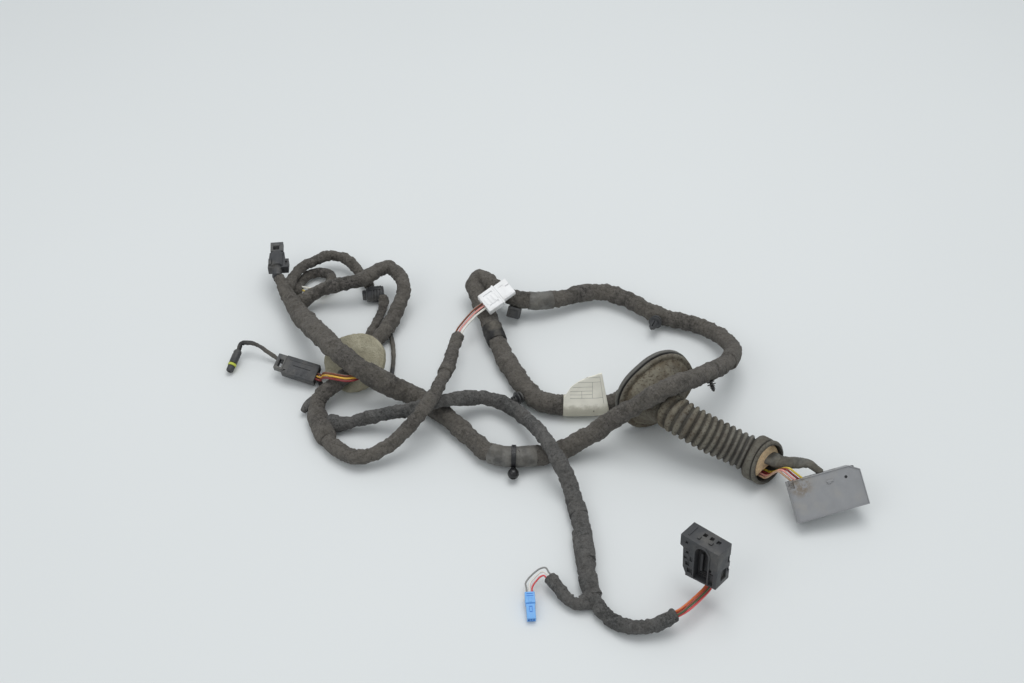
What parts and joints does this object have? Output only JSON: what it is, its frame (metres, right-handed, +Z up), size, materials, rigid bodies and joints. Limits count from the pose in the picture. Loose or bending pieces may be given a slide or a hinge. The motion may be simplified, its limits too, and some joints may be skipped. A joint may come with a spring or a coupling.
{
  "type": "door wiring harness",
  "caption": "Used vehicle door wiring harness: taped strands looped loosely, a ribbed rubber door boot with an oval flange, plugs, clips, foam seals and a paper flag.",
  "frame": {"origin": "centre of the bounding box at its bottom, on the surface that the harness lies on", "axes": "+X along the longest extent, to the right in the picture; +Y to the back; +Z up from the surface"},
  "size_m": [0.5918, 0.4628, 0.0776],
  "materials": {
    "cloth_tape": "matt fleece tape, dusty",
    "lead_cover": "matt sheath",
    "dark_tape": "dark smooth tape",
    "grey_tape": "worn smooth grey tape, slight gloss",
    "boot_rubber": "aged rubber under tan dust",
    "tan_foam": "open foam",
    "grey_foam": "weathered foam",
    "grey_plastic": "fine grained",
    "black_plastic": "fine grained",
    "white_plastic": "satin",
    "blue_plastic": "satin",
    "seal_yellow": "matt",
    "label_paper": "uncoated, soiled edge",
    "wire_red": "satin insulation",
    "wire_pink": "satin insulation",
    "wire_brown": "satin insulation",
    "wire_white": "satin insulation",
    "wire_yellow": "satin insulation",
    "wire_orange": "satin insulation",
    "wire_green": "satin insulation",
    "wire_grey": "satin insulation"
  },
  "bodies": {
    "root": {"trunk": "cloth_tape", "arm_left": "cloth_tape", "arm_front": "cloth_tape", "branch_upper": "cloth_tape", "branch_curl": "cloth_tape", "branch_link": "cloth_tape", "lead_link": "lead_cover", "stub_front": "cloth_tape", "lead_probe": "lead_cover", "bundle_door": "dark_tape", "grommet": "boot_rubber", "grommet_foam": "tan_foam", "door_plug_cover": "grey_plastic", "door_plug_body": "black_plastic", "motor_plug": "black_plastic", "motor_plug_lock": "dark_tape", "white_plug": "white_plastic", "white_plug_lock": "white_plastic", "blue_plug": "blue_plastic", "blue_plug_nose": "blue_plastic", "rear_plug": "black_plastic", "rear_plug_cap": "grey_plastic", "flat_plug": "black_plastic", "flat_plug_latch": "grey_plastic", "round_plug": "black_plastic", "round_plug_nose": "black_plastic", "probe_plug": "black_plastic", "probe_seal": "seal_yellow", "clip_edge": "black_plastic", "clip_fir": "black_plastic", "clip_small": "black_plastic", "clip_twin": "black_plastic", "tie_strap": "black_plastic", "tie_head": "black_plastic", "tape_dark": "dark_tape", "tape_grey": "grey_tape", "tape_smooth": "grey_tape", "foam_disc": "grey_foam", "label": "label_paper", "wire_door_brown": "wire_brown", "wire_door_pink": "wire_pink", "wire_door_red": "wire_red", "wire_door_yellow": "wire_yellow", "wire_motor_red_a": "wire_red", "wire_motor_red_b": "wire_red", "wire_motor_orange": "wire_orange", "wire_motor_green": "wire_green", "wire_plug_brown": "wire_brown", "wire_plug_pink": "wire_pink", "wire_plug_white": "wire_white", "wire_blue_red": "wire_red", "wire_blue_white": "wire_white", "wire_blue_grey": "wire_grey", "wire_flat_red": "wire_red", "wire_flat_yellow": "wire_yellow", "wire_flat_orange": "wire_orange", "wire_curl_white": "wire_white", "wire_curl_yellow": "wire_yellow"}
  },
  "joints": []
}
